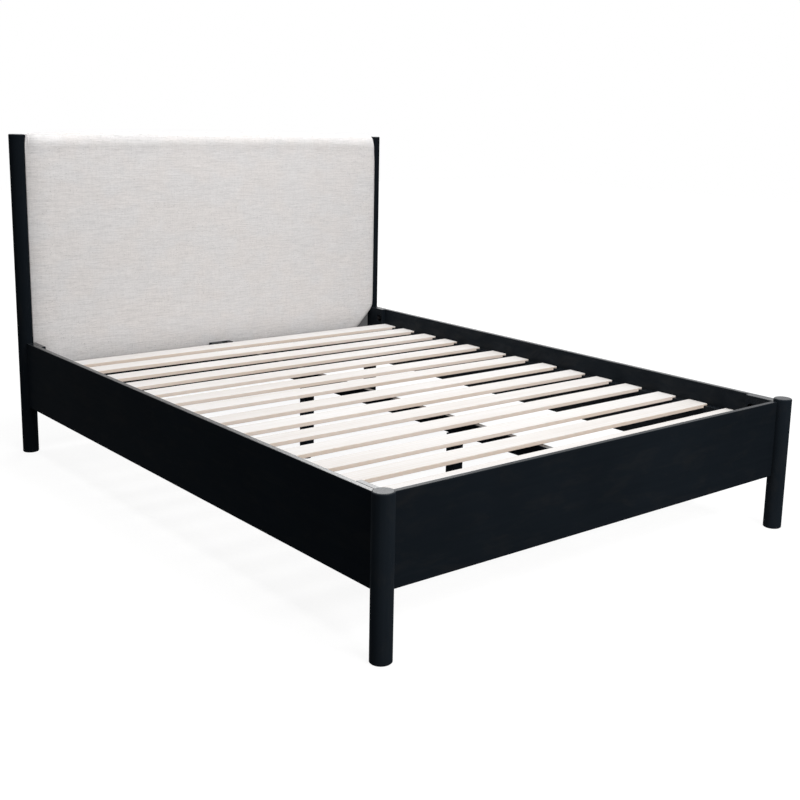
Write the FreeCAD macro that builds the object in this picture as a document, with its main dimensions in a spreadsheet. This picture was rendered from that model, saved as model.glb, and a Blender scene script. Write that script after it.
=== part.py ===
import FreeCAD
import Part
import Sketcher
import math
import os
import re

Vector = FreeCAD.Vector
Rotation = FreeCAD.Rotation
Placement = FreeCAD.Placement

# Queen platform bed: round legs and posts, board rails, padded headboard and loose slats.
# Millimetres. X runs across the bed, +Y towards the headboard, +Z up, origin on the floor
# under the middle of the bed.

# Driving sizes
SIZES = {
    "mattress_width": 1524.0,
    "mattress_length": 2032.0,
    "mattress_side_play": 7.0,
    "mattress_end_play": 29.0,
    "leg_diameter": 56.0,
    "leg_top_round": 4.0,
    "leg_foot_ease": 2.0,
    "foot_leg_height": 417.0,
    "post_height": 1147.0,
    "rail_thickness": 17.0,
    "rail_height": 238.0,
    "rail_top": 408.0,
    "rail_edge_round": 2.0,
    "cross_rail_setback": 1.0,
    "cope_play": 0.2,
    "end_block_thickness": 17.0,
    "end_block_reach": 116.0,
    "end_block_play": 0.2,
    "access_hole_diameter": 32.0,
    "access_hole_margin": 21.0,
    "bolt_inset": 41.0,
    "bolt_diameter": 8.0,
    "bolt_play": 0.2,
    "bolt_bite": 32.0,
    "bolt_tail": 20.0,
    "washer_width": 13.0,
    "washer_half_chord": 11.0,
    "nut_corner_radius": 7.5,
    "nut_height": 6.5,
    "tenon_thickness": 8.0,
    "tenon_margin": 12.0,
    "tenon_bite": 20.0,
    "tenon_reach": 26.0,
    "tenon_play": 0.15,
    "slat_width": 75.0,
    "slat_thickness": 12.5,
    "slat_drop": 63.5,
    "slat_end_gap": 2.5,
    "slat_tongue_thickness": 5.0,
    "slat_shoulder_play": 1.5,
    "slat_seat_play": 0.1,
    "slat_edge_ease": 1.2,
    "slat_head_gap": 5.5,
    "slat_foot_gap": 9.5,
    "ledger_thickness": 18.0,
    "ledger_height": 40.0,
    "ledger_end_gap": 0.5,
    "beam_thickness": 21.0,
    "beam_height": 51.0,
    "beam_edge_round": 1.5,
    "beam_play": 0.3,
    "beam_end_gap": 1.0,
    "beam_block_width": 110.0,
    "beam_block_head_width": 90.0,
    "beam_block_head_shift": 14.5,
    "beam_block_wall": 9.0,
    "beam_block_top_rise": 5.0,
    "beam_block_depth_head": 60.0,
    "beam_block_depth_foot": 38.0,
    "beam_block_drop": 41.0,
    "centre_leg_side": 38.0,
    "centre_leg_spacing": 822.0,
    "centre_leg_shift": 4.0,
    "centre_leg_edge_round": 2.0,
    "leg_tenon_side": 22.0,
    "leg_tenon_thickness": 8.0,
    "leg_tenon_bite": 30.0,
    "leg_tenon_reach": 22.0,
    "leveller_pad_radius": 15.0,
    "leveller_pad_height": 8.0,
    "leveller_seat_play": 0.3,
    "leveller_stud_radius": 4.0,
    "leveller_stud_length": 26.0,
    "stud_play": 0.1,
    "stud_end_play": 4.0,
    "panel_front_reach": 42.0,
    "panel_side_play": 0.3,
    "panel_tenon_thickness": 6.0,
    "panel_bottom": 302.0,
    "panel_base_play": 2.0,
    "panel_top_drop": 19.0,
    "panel_rear_reach": 7.0,
    "panel_frame_thickness": 20.0,
    "panel_frame_width": 60.0,
    "panel_face_thickness": 4.0,
    "lining_thickness": 1.0,
    "lining_lip": 115.0,
    "cushion_gap": 0.3,
    "cushion_side_cover": 2.0,
    "cushion_side_wrap": 14.7,
    "cushion_top_rise": 13.0,
    "cushion_top_fall": 9.0,
    "cushion_top_round": 58.0,
    "cushion_front_crown": 4.0,
    "cushion_bottom_round": 35.0,
    "cushion_corner_rise": 108.0,
    "cushion_corner_run": 105.0,
    "cushion_side_draw": 8.0,
    "cut_overrun": 10.0,
}

# Places that follow from the driving sizes
PLACES = {
    "leg_radius": "leg_diameter / 2",
    "cope_radius": "leg_radius + cope_play",
    "inner_half_width": "mattress_width / 2 + mattress_side_play",
    "leg_x": "inner_half_width + rail_thickness / 2",
    "cross_rail_reach": "cross_rail_setback + rail_thickness",
    "inner_length": "mattress_length + mattress_end_play",
    "leg_y": "(inner_length + panel_front_reach + cross_rail_reach) / 2",
    "rail_bottom": "rail_top - rail_height",
    "cross_rail_inset": "cross_rail_setback + rail_thickness / 2",
    "cross_rail_face": "leg_y - cross_rail_reach",
    "tenon_mouth": "sqrt(leg_radius ^ 2 - cross_rail_inset ^ 2)",
    "head_rail_top": "panel_bottom - panel_base_play",
    "block_inset": "(rail_thickness + end_block_thickness) / 2",
    "bolt_chord": "sqrt(leg_radius ^ 2 - block_inset ^ 2)",
    "bolt_high": "rail_top - bolt_inset",
    "bolt_low": "rail_bottom + bolt_inset",
    "access_y": "leg_y - end_block_reach + access_hole_margin",
    "access_radius": "access_hole_diameter / 2",
    "washer_radius": "access_radius - bolt_play",
    "washer_flat": "access_y + sqrt(washer_radius ^ 2 - washer_half_chord ^ 2)",
    "slat_top": "rail_top - slat_drop",
    "slat_under": "slat_top - slat_thickness",
    "slat_half_length": "inner_half_width - slat_end_gap",
    "slat_shoulder": "inner_half_width - ledger_thickness - slat_shoulder_play",
    "slat_tongue_under": "slat_top - slat_tongue_thickness",
    "ledger_top": "slat_tongue_under - slat_seat_play",
    "beam_top": "slat_under - slat_seat_play",
    "ledger_half_length": "leg_y - end_block_reach - ledger_end_gap",
    "slat_first": "leg_y - end_block_reach - slat_head_gap - slat_width / 2",
    "slat_last": "end_block_reach - leg_y + slat_foot_gap + slat_width / 2",
    "beam_bottom": "beam_top - beam_height",
    "panel_face": "leg_y - panel_front_reach",
    "beam_block_back": "panel_face - cushion_front_crown - beam_end_gap",
    "beam_block_front": "cross_rail_face - beam_block_depth_head",
    "beam_block_base": "beam_bottom - beam_block_drop",
    "beam_block_ledge": "panel_bottom - 6 * beam_end_gap",
    "beam_head_end": "beam_block_back - beam_block_wall - beam_end_gap",
    "beam_foot_end": "beam_end_gap - cross_rail_face",
    "centre_leg_bottom": "leveller_pad_height + leveller_seat_play",
    "panel_half_width": "leg_x - leg_radius - panel_side_play",
    "panel_top": "post_height - panel_top_drop",
    "panel_rear": "leg_y + panel_rear_reach",
    "panel_frame_front": "panel_rear - panel_frame_thickness",
    "panel_face_front": "panel_frame_front - panel_face_thickness",
    "panel_frame_base": "panel_bottom + lining_thickness",
    "frame_half_width": "panel_half_width - cushion_side_cover",
    "frame_side_gap": "panel_side_play + cushion_side_cover",
    "cushion_back": "panel_face_front - lining_thickness - cushion_gap",
    "cushion_wrap": "cushion_back + cushion_side_wrap",
    "panel_tenon_mid": "(panel_rear + cushion_wrap) / 2",
    "cushion_ledge": "panel_top + cushion_gap",
    "cushion_rear": "panel_rear + lining_thickness",
    "cushion_top": "post_height + cushion_top_rise",
}

LEFT, RIGHT = -1, 1
FOOT, HEAD = -1, 1
SIDES = {"left": LEFT, "right": RIGHT}
ENDS = {"head": HEAD, "foot": FOOT}

SLAT_COUNT = 14
# How far each loose slat has drifted from even spacing, as a share of its width
SLAT_DRIFT_SHARES = (
    0.0, 0.16, 0.052, 0.039, 0.091, 0.023, 0.227,
    -0.006, -0.016, 0.071, 0.082, -0.014, 0.105, 0.0,
)
# How far each loose slat lies out of square, in degrees
SLAT_SKEW_DEGREES = (
    0.3, 0.05, 0.35, 0.7, 0.45, -0.25, -0.4,
    0.1, -0.15, 0.0, 0.15, 0.05, 0.05, 0.0,
)
# Ends of the loose tenons, as shares of the height that is free for them
FOOT_TENON_SHARES = ((0.0, 0.37), (0.63, 1.0))
HEAD_TENON_SHARES = ((0.05, 0.8),)
PANEL_TENON_SHARES = ((0.03, 0.095), (0.42, 0.485), (0.81, 0.875))
# Where a rounded rim is drawn, as shares of its radius in from the side and down from the top
RIM_SHARES = ((0.0, 1.0), (0.134, 0.5), (0.5, 0.134), (1.0, 0.0))

doc = FreeCAD.newDocument("platform_bed")
sub_parts = []
cuts = []


# Spreadsheets and bindings


def named(text, own=""):
    """Turn the words of a formula into references to the two sheets."""

    def reference(match):
        word = match.group(0)
        if word in SIZES:
            return word if own == "sizes" else "sizes." + word
        if word in PLACES:
            return word if own == "places" else "places." + word
        return word

    return re.sub(r"[a-z][a-z_]+", reference, text)


def fill_sheet(name, rows):
    sheet = doc.addObject("Spreadsheet::Sheet", name)
    for row, (alias, content) in enumerate(rows, start=1):
        sheet.set(f"A{row}", alias)
        sheet.set(f"B{row}", content)
        sheet.setAlias(f"B{row}", alias)
    return sheet


sizes = fill_sheet("sizes", [(word, str(number)) for word, number in SIZES.items()])
places = fill_sheet("places", [(word, "=" + named(text, "places")) for word, text in PLACES.items()])
doc.recompute()


def size(word):
    """Read one driving size or place."""
    return float(sizes.get(word) if word in SIZES else places.get(word))


def bind(target, prop, text):
    target.setExpression(prop, named(str(text)))


def bind_base(target, x, y, z):
    for letter, text in zip("xyz", (x, y, z)):
        bind(target, f"Placement.Base.{letter}", text)


# Sketches and features of a body


def new_body(label, x="0", y="0", z="0", skew=0.0):
    made = doc.addObject("PartDesign::Body", label)
    made.Label = label
    made.AllowCompound = True
    made.Placement = Placement(Vector(), Rotation(Vector(0, 0, 1), skew))
    bind_base(made, x, y, z)
    return made


PLANES = {"x": "YZ_Plane", "y": "XZ_Plane", "z": "XY_Plane"}


def new_sketch(body, axis, at):
    """A sketch square to one axis; its own two axes are the other two, in X, Y, Z order."""
    drawn = body.newObject("Sketcher::SketchObject", body.Label + "_sketch")
    plane = next(item for item in body.Origin.OriginFeatures if item.Role == PLANES[axis])
    drawn.AttachmentSupport = [(plane, "")]
    drawn.MapMode = "FlatFace"
    lift = f"-({at})" if axis == "y" else at
    bind(drawn, "AttachmentOffset.Base.z", lift)
    return drawn


def pin_point(drawn, geometry, end, x, y):
    for kind, text in (("DistanceX", x), ("DistanceY", y)):
        index = drawn.addConstraint(Sketcher.Constraint(kind, -1, 1, geometry, end, 1.0))
        bind(drawn, f"Constraints[{index}]", text)


def draw_outline(drawn, corners):
    """A closed outline of straight sides through corners given as formulas."""
    count = len(corners)
    first = drawn.GeometryCount
    turn = 2 * math.pi / count
    seeds = [Vector(math.cos(turn * k), math.sin(turn * k), 0) for k in range(count)]
    for k in range(count):
        drawn.addGeometry(Part.LineSegment(seeds[k], seeds[(k + 1) % count]), False)
    for k in range(count):
        follower = first + (k + 1) % count
        drawn.addConstraint(Sketcher.Constraint("Coincident", first + k, 2, follower, 1))
    for k, (x, y) in enumerate(corners):
        pin_point(drawn, first + k, 1, x, y)


def draw_circle(drawn, x, y, radius):
    index = drawn.addGeometry(Part.Circle(Vector(0, 0, 0), Vector(0, 0, 1), 1.0), False)
    pin_point(drawn, index, 3, x, y)
    number = drawn.addConstraint(Sketcher.Constraint("Radius", index, 1.0))
    bind(drawn, f"Constraints[{number}]", radius)


def rectangle(low_x, high_x, low_y, high_y):
    return [(low_x, low_y), (high_x, low_y), (high_x, high_y), (low_x, high_y)]


def add_pad(body, axis, at, length, outlines=(), circles=()):
    """Material from the plane at, along + axis."""
    drawn = new_sketch(body, axis, at)
    for corners in outlines:
        draw_outline(drawn, corners)
    for x, y, radius in circles:
        draw_circle(drawn, x, y, radius)
    pad = body.newObject("PartDesign::Pad", body.Label + "_pad")
    pad.Profile = drawn
    bind(pad, "Length", length)
    pad.Reversed = axis == "y"
    doc.recompute()
    return pad


def add_pocket(body, axis, at, toward, depth=None, outlines=(), circles=()):
    """A cut from the plane at, towards + or - axis, through everything unless a depth is given."""
    drawn = new_sketch(body, axis, at)
    for corners in outlines:
        draw_outline(drawn, corners)
    for x, y, radius in circles:
        draw_circle(drawn, x, y, radius)
    pocket = body.newObject("PartDesign::Pocket", body.Label + "_pocket")
    pocket.Profile = drawn
    if depth is None:
        pocket.Type = "ThroughAll"
    else:
        bind(pocket, "Length", depth)
    pocket.Reversed = (toward > 0) if axis != "y" else (toward < 0)
    doc.recompute()
    cuts.append(pocket)
    return pocket


def add_fillet(body, radius, chosen):
    """Round the edges of the body's last feature for which chosen(edge) holds."""
    base = body.Tip
    names = [f"Edge{k}" for k, edge in enumerate(base.Shape.Edges, start=1) if chosen(edge)]
    fillet = body.newObject("PartDesign::Fillet", body.Label + "_fillet")
    fillet.Base = (base, names)
    bind(fillet, "Radius", radius)
    doc.recompute()
    return fillet


def add_chamfer(body, width, chosen):
    """Ease the edges of the body's last feature for which chosen(edge) holds with a flat."""
    base = body.Tip
    names = [f"Edge{k}" for k, edge in enumerate(base.Shape.Edges, start=1) if chosen(edge)]
    chamfer = body.newObject("PartDesign::Chamfer", body.Label + "_chamfer")
    chamfer.Base = (base, names)
    bind(chamfer, "Size", width)
    doc.recompute()
    return chamfer


def keep(made):
    sub_parts.append(made)
    return made


def runs_along(axis):
    """Chooses the straight edges along an axis that are at least half as long as the piece."""

    def chosen(edge):
        if edge.Curve.TypeId != "Part::GeomLine":
            return False
        step = edge.Vertexes[-1].Point - edge.Vertexes[0].Point
        return abs(step.dot(axis)) > 0.999 * step.Length and edge.Length > 0.05 * reach(axis)

    def reach(direction):
        across = abs(direction.x) * size("leg_x") + abs(direction.y) * size("leg_y")
        return across + abs(direction.z) * size("rail_height")

    return chosen


ALONG_X = Vector(1, 0, 0)
ALONG_Y = Vector(0, 1, 0)
ALONG_Z = Vector(0, 0, 1)


# Primitives placed along an axis

TURNS = {
    "x": Rotation(Vector(0, 1, 0), 90),
    "y": Rotation(Vector(1, 0, 0), -90),
    "z": Rotation(),
}


def rod(name, axis, x, y, z, radius, length):
    """A round bar that starts at x, y, z and runs along + axis."""
    made = doc.addObject("Part::Cylinder", name)
    made.Placement = Placement(Vector(), TURNS[axis])
    bind_base(made, x, y, z)
    bind(made, "Radius", radius)
    bind(made, "Height", length)
    return made


def board(label, low_x, high_x, low_y, high_y, low_z, high_z):
    """A plain rectangular board between six planes."""
    made = doc.addObject("Part::Box", label)
    made.Label = label
    bind_base(made, low_x, low_y, low_z)
    bind(made, "Length", f"({high_x}) - ({low_x})")
    bind(made, "Width", f"({high_y}) - ({low_y})")
    bind(made, "Height", f"({high_z}) - ({low_z})")
    return made


def mirrored(source):
    """The same piece on the other side of the bed."""
    made = doc.addObject("Part::Mirroring", source.Name + "_mirrored")
    made.Source = source
    made.Base = Vector()
    made.Normal = ALONG_X
    return made


def group(label, members):
    made = doc.addObject("Part::Compound", label)
    made.Label = label
    made.Links = members
    return made


def cut_away(label, base, tool):
    made = doc.addObject("Part::Cut", label)
    made.Label = label
    made.Base = base
    made.Tool = tool
    return made


# Legs and headboard posts


def tenon_spans(base, top, tenon_shares):
    """The lowest and highest level of each loose tenon in the height that is free for them."""
    return [tuple(f"{base} + {share} * ({top} - ({base}))" for share in ends) for ends in tenon_shares]


def mortises(middle, thickness, spans):
    """Outlines across X of the slots that take the loose tenons."""
    half = f"({thickness} / 2 + tenon_play)"
    return [
        rectangle(f"{middle} - {half}", f"{middle} + {half}", f"{low} - tenon_play", f"{high} + tenon_play")
        for low, high in spans
    ]


FOOT_TENONS = tenon_spans("bolt_low + tenon_margin", "bolt_high - tenon_margin", FOOT_TENON_SHARES)
HEAD_TENONS = tenon_spans("bolt_low + tenon_margin", "head_rail_top - tenon_margin", HEAD_TENON_SHARES)
PANEL_TENONS = tenon_spans("bolt_high + tenon_margin", "panel_top", PANEL_TENON_SHARES)
BOLT_HEIGHTS = ("bolt_high", "bolt_low")


def make_leg(label, side, end, height, rail_tenons, panel_tenons=()):
    """A round leg turned to its profile, with the bores and slots of the joints it takes."""
    leg = new_body(label, f"{side} * leg_x", f"{end} * leg_y")
    drawn = new_sketch(leg, "y", "0")
    rim = [
        (f"leg_radius - {inward} * leg_top_round", f"{height} - {down} * leg_top_round")
        for inward, down in RIM_SHARES
    ]
    foot = [("0", "0"), ("leg_radius - leg_foot_ease", "0"), ("leg_radius", "leg_foot_ease")]
    draw_outline(drawn, foot + rim + [("0", height)])
    turned = leg.newObject("PartDesign::Revolution", label + "_turned")
    turned.Profile = drawn
    turned.ReferenceAxis = (drawn, ["V_Axis"])
    turned.Angle = 360.0
    doc.recompute()
    bolts = [(f"{-side} * block_inset", z, "bolt_diameter / 2 + bolt_play") for z in BOLT_HEIGHTS]
    tip = f"{end} * (bolt_bite + bolt_play - bolt_chord)"
    add_pocket(leg, "y", tip, -end, circles=bolts)
    floor = f"{-side} * (tenon_mouth - tenon_bite - tenon_play)"
    slots = mortises(f"{-end} * cross_rail_inset", "tenon_thickness", rail_tenons)
    add_pocket(leg, "x", floor, -side, outlines=slots)
    if panel_tenons:
        floor = f"{-side} * (leg_radius - tenon_bite - tenon_play)"
        slots = mortises("(panel_tenon_mid - leg_y)", "panel_tenon_thickness", panel_tenons)
        add_pocket(leg, "x", floor, -side, outlines=slots)
    return keep(leg)


for word, side in SIDES.items():
    make_leg(f"foot_leg_{word}", side, FOOT, "foot_leg_height", FOOT_TENONS)
    make_leg(f"headboard_post_{word}", side, HEAD, "post_height", HEAD_TENONS, PANEL_TENONS)


# Rails


def make_side_rail(label, side):
    """A board between leg and post, its ends coped to their round."""
    rail = new_body(label, f"{side} * leg_x")
    half = "rail_thickness / 2"
    outline = rectangle(f"-{half}", half, "-leg_y", "leg_y")
    add_pad(rail, "z", "rail_bottom", "rail_height", outlines=[outline])
    copes = [("0", "leg_y", "cope_radius"), ("0", "-leg_y", "cope_radius")]
    add_pocket(rail, "z", "rail_bottom", 1, circles=copes)
    add_fillet(rail, "rail_edge_round", runs_along(ALONG_Y))
    return keep(rail)


def make_cross_rail(label, end, height, tenons):
    """A board between two legs or two posts, coped to their round and slotted at both ends."""
    rail = new_body(label, "0", f"{end} * leg_y")
    near = f"{-end} * cross_rail_setback"
    far = f"{-end} * cross_rail_reach"
    outline = rectangle("-leg_x", "leg_x", near, far)
    add_pad(rail, "z", "rail_bottom", height, outlines=[outline])
    copes = [("leg_x", "0", "cope_radius"), ("-leg_x", "0", "cope_radius")]
    add_pocket(rail, "z", "rail_bottom", 1, circles=copes)
    add_fillet(rail, "rail_edge_round", runs_along(ALONG_X))
    slots = mortises(f"{-end} * cross_rail_inset", "tenon_thickness", tenons)
    for side in (LEFT, RIGHT):
        floor = f"{side} * (leg_x - tenon_mouth - tenon_reach - tenon_play)"
        add_pocket(rail, "x", floor, side, outlines=slots)
    return keep(rail)


def loose_tenons(middle, thickness, mouth, spans):
    """Flat tenons in upright joints between an upright and what meets it, on both sides."""
    made = []
    half = f"{thickness} / 2"
    for low, high in spans:
        across = (f"{mouth} - tenon_reach", f"{mouth} + tenon_bite")
        through = (f"{middle} - {half}", f"{middle} + {half}")
        tenon = board("loose_tenon", *across, *through, low, high)
        made += [tenon, mirrored(tenon)]
    return made


for word, side in SIDES.items():
    make_side_rail(f"side_rail_{word}", side)
make_cross_rail("foot_rail", FOOT, "rail_height", FOOT_TENONS)
make_cross_rail("head_rail", HEAD, "head_rail_top - rail_bottom", HEAD_TENONS)
rail_mouth = "leg_x - tenon_mouth"
foot_set = loose_tenons("cross_rail_inset - leg_y", "tenon_thickness", rail_mouth, FOOT_TENONS)
head_set = loose_tenons("leg_y - cross_rail_inset", "tenon_thickness", rail_mouth, HEAD_TENONS)
keep(group("rail_tenons", foot_set + head_set))


# End blocks with their bolts, half-moon washers and nuts


def make_end_block(label, side, end):
    """The block that thickens a side rail's end and takes its two bolts, open at two round holes."""
    block = new_body(label, f"{side} * leg_x")
    near = f"{-side} * rail_thickness / 2"
    far = f"{-side} * (rail_thickness / 2 + end_block_thickness)"
    inner = f"{end} * (leg_y - end_block_reach)"
    outer = f"{end} * (cross_rail_face - end_block_play)"
    add_pad(block, "z", "rail_bottom", "rail_height", outlines=[rectangle(near, far, inner, outer)])
    cope = ("0", f"{end} * leg_y", "cope_radius")
    add_pocket(block, "z", "rail_bottom", 1, circles=[cope])

    def is_show_edge(edge):
        box = edge.BoundBox
        inside = abs(box.Center.x) > size("rail_thickness")
        return runs_along(ALONG_Y)(edge) and inside

    add_fillet(block, "rail_edge_round", is_show_edge)
    centre = f"{end} * access_y"
    holes = [(centre, z, "access_radius") for z in ("bolt_high", "bolt_low")]
    add_pocket(block, "x", near, -side, circles=holes)
    bores = [(f"{-side} * block_inset", z, "bolt_diameter / 2 + bolt_play") for z in BOLT_HEIGHTS]
    add_pocket(block, "y", centre, end, circles=bores)
    return keep(block)


for side_word, side in SIDES.items():
    for end_word, end in ENDS.items():
        make_end_block(f"end_block_{end_word}_{side_word}", side, end)

bolts, washers, nuts = [], [], []
for end in (HEAD, FOOT):
    for z in BOLT_HEIGHTS:
        x = "leg_x - block_inset"
        wall = "(access_y + access_radius)"
        tip = "(leg_y - bolt_chord + bolt_bite)"
        length = f"{tip} - {wall} + bolt_tail"
        start = f"{wall} - bolt_tail" if end == HEAD else f"-{tip}"
        bolt = rod("hanger_bolt", "y", x, start, z, "bolt_diameter / 2", length)
        drill = rod("bolt_drill", "y", x, start, z, "bolt_diameter / 2 + bolt_play", length)
        bolts += [bolt, mirrored(bolt)]
        left_face = f"{x} - washer_width / 2"
        disc = rod("washer_disc", "x", left_face, f"{end} * access_y", z, "washer_radius", "washer_width")
        far = f"({wall} + cut_overrun)"
        span = ("washer_flat", far) if end == HEAD else (f"-{far}", "-washer_flat")
        slab = board("washer_slab", left_face, f"{left_face} + washer_width", *span,
                     f"{z} - washer_radius", f"{z} + washer_radius")
        moon = doc.addObject("Part::MultiCommon", "washer_moon")
        moon.Shapes = [disc, slab]
        half_slot = "(bolt_diameter / 2 + bolt_play)"
        slot = board("washer_slot", f"{x} - {half_slot}", f"{x} + {half_slot}", *span,
                     f"{z} - {half_slot}", f"{z} + washer_radius")
        washer = cut_away("bolt_washer", moon, slot)
        washers += [washer, mirrored(washer)]
        blank = doc.addObject("Part::Prism", "nut_blank")
        blank.Polygon = 6
        blank.Placement = Placement(Vector(), TURNS["y"])
        bind(blank, "Circumradius", "nut_corner_radius")
        bind(blank, "Height", "nut_height")
        seat = "(washer_flat - bolt_play)"
        nut_start = f"{seat} - nut_height" if end == HEAD else f"-{seat}"
        bind_base(blank, x, nut_start, z)
        nut = cut_away("bolt_nut", blank, drill)
        nuts += [nut, mirrored(nut)]
keep(group("hanger_bolts", bolts))
keep(group("bolt_washers", washers))
keep(group("bolt_nuts", nuts))


# Ledgers that carry the slat ends

for word, side in SIDES.items():
    ledger = new_body(f"slat_ledger_{word}", f"{side} * inner_half_width")
    face = f"{-side} * ledger_thickness"
    outline = rectangle("0", face, "-ledger_half_length", "ledger_half_length")
    add_pad(ledger, "z", "ledger_top - ledger_height", "ledger_height", outlines=[outline])
    keep(ledger)


# Slats

for index, (drift_share, skew) in enumerate(zip(SLAT_DRIFT_SHARES, SLAT_SKEW_DEGREES)):
    step = f"{index} * (slat_first - slat_last) / {SLAT_COUNT - 1}"
    y = f"slat_first - {step} + {drift_share} * slat_width"
    slat = new_body(f"slat_{index + 1:02d}", "0", y, "0", skew)
    side_view = [
        ("-slat_half_length", "slat_top"),
        ("-slat_half_length", "slat_tongue_under"),
        ("-slat_shoulder", "slat_tongue_under"),
        ("-slat_shoulder", "slat_under"),
        ("slat_shoulder", "slat_under"),
        ("slat_shoulder", "slat_tongue_under"),
        ("slat_half_length", "slat_tongue_under"),
        ("slat_half_length", "slat_top"),
    ]
    add_pad(slat, "y", "-slat_width / 2", "slat_width", outlines=[side_view])
    add_chamfer(slat, "slat_edge_ease", runs_along(ALONG_X))
    keep(slat)


# Centre beam, its end blocks and its two legs

beam = new_body("centre_beam")
half = "beam_thickness / 2"
add_pad(beam, "y", "beam_foot_end", "beam_head_end - beam_foot_end",
        outlines=[rectangle(f"-{half}", half, "beam_bottom", "beam_top")])
add_fillet(beam, "beam_edge_round", runs_along(ALONG_Y))
LEG_PLACES = {
    "head": "centre_leg_spacing / 2 - centre_leg_shift",
    "foot": "-centre_leg_spacing / 2 - centre_leg_shift",
}
leg_slot_half = "(leg_tenon_thickness / 2 + tenon_play)"
leg_slot_run = "(leg_tenon_side / 2 + tenon_play)"
leg_slots = [
    rectangle(f"-{leg_slot_half}", leg_slot_half, f"{y} - {leg_slot_run}", f"{y} + {leg_slot_run}")
    for y in LEG_PLACES.values()
]
add_pocket(beam, "z", "beam_bottom + leg_tenon_reach + tenon_play", -1, outlines=leg_slots)
keep(beam)

slot_half = "(beam_thickness / 2 + beam_play)"
block_half = "beam_block_width / 2"
head_block = new_body("beam_block_head")
block_left = "-beam_block_head_width / 2 - beam_block_head_shift"
stepped = [
    ("beam_block_front", "beam_block_base"),
    ("cross_rail_face", "beam_block_base"),
    ("cross_rail_face", "beam_block_ledge"),
    ("beam_block_back", "beam_block_ledge"),
    ("beam_block_back", "slat_under + beam_block_top_rise"),
    ("beam_block_front", "slat_under + beam_block_top_rise"),
]
add_pad(head_block, "x", block_left, "beam_block_head_width", outlines=[stepped])
slot = rectangle(f"-{slot_half}", slot_half, "beam_bottom", "slat_under + cut_overrun")
slot_depth = "beam_block_back - beam_block_wall - beam_block_front"
add_pocket(head_block, "y", "beam_block_front", 1, slot_depth, outlines=[slot])
keep(head_block)

foot_block = new_body("beam_block_foot")
add_pad(foot_block, "y", "-cross_rail_face", "beam_block_depth_foot",
        outlines=[rectangle(f"-{block_half}", block_half, "beam_block_base", "beam_top")])
add_pocket(foot_block, "y", "-cross_rail_face", 1, outlines=[slot])
keep(foot_block)

leg_half = "centre_leg_side / 2"
leg_tenons = []
for word, y in LEG_PLACES.items():
    leg = new_body(f"centre_leg_{word}", "0", y)
    add_pad(leg, "z", "centre_leg_bottom", "beam_bottom - centre_leg_bottom",
            outlines=[rectangle(f"-{leg_half}", leg_half, f"-{leg_half}", leg_half)])
    add_fillet(leg, "centre_leg_edge_round", runs_along(ALONG_Z))
    stud_hole = "leveller_pad_height + leveller_stud_length + stud_end_play"
    add_pocket(leg, "z", stud_hole, -1, circles=[("0", "0", "leveller_stud_radius + stud_play")])
    slot = rectangle(f"-{leg_slot_half}", leg_slot_half, f"-{leg_slot_run}", leg_slot_run)
    add_pocket(leg, "z", "beam_bottom - leg_tenon_bite - tenon_play", 1, outlines=[slot])
    keep(leg)

    leveller = new_body(f"leveller_{word}", "0", y)
    drawn = new_sketch(leveller, "x", "0")
    draw_outline(drawn, [
        ("0", "0"),
        ("leveller_pad_radius", "0"),
        ("leveller_pad_radius", "leveller_pad_height"),
        ("leveller_stud_radius", "leveller_pad_height"),
        ("leveller_stud_radius", "leveller_pad_height + leveller_stud_length"),
        ("0", "leveller_pad_height + leveller_stud_length"),
    ])
    turned = leveller.newObject("PartDesign::Revolution", "leveller_turned")
    turned.Profile = drawn
    turned.ReferenceAxis = (drawn, ["V_Axis"])
    turned.Angle = 360.0
    doc.recompute()
    keep(leveller)

    leg_tenons.append(board("leg_tenon", "-leg_tenon_thickness / 2", "leg_tenon_thickness / 2",
                            f"{y} - leg_tenon_side / 2", f"{y} + leg_tenon_side / 2",
                            "beam_bottom - leg_tenon_bite", "beam_bottom + leg_tenon_reach"))
keep(group("centre_leg_tenons", leg_tenons))


# Headboard panel: frame, face board, lining and loose tenons

panel_sides = ("-frame_half_width", "frame_half_width")
frame_depth = ("panel_frame_front", "panel_rear")
keep(board("panel_frame_top", *panel_sides, *frame_depth, "panel_top - panel_frame_width", "panel_top"))
keep(board("panel_frame_bottom", *panel_sides, *frame_depth,
           "panel_frame_base", "panel_frame_base + panel_frame_width"))
stile_span = ("panel_frame_base + panel_frame_width", "panel_top - panel_frame_width")
keep(board("panel_frame_middle", "-panel_frame_width / 2", "panel_frame_width / 2",
           *frame_depth, *stile_span))
panel_mouth = "leg_x - leg_radius"
panel_set = loose_tenons("panel_tenon_mid", "panel_tenon_thickness", panel_mouth, PANEL_TENONS)
keep(group("panel_tenons", panel_set))
for word, side in SIDES.items():
    stile = new_body(f"panel_stile_{word}", f"{side} * leg_x")
    outer = f"{-side} * (leg_radius + frame_side_gap)"
    inner = f"{-side} * (leg_radius + frame_side_gap + panel_frame_width)"
    add_pad(stile, "z", stile_span[0], f"{stile_span[1]} - ({stile_span[0]})",
            outlines=[rectangle(outer, inner, *frame_depth)])
    floor = f"{-side} * (leg_radius + tenon_reach + tenon_play)"
    slots = mortises("panel_tenon_mid", "panel_tenon_thickness", PANEL_TENONS)
    add_pocket(stile, "x", floor, side, outlines=slots)
    keep(stile)
keep(board("panel_face_board", *panel_sides, "panel_face_front", "panel_frame_front",
           "panel_frame_base", "panel_top"))

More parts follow.
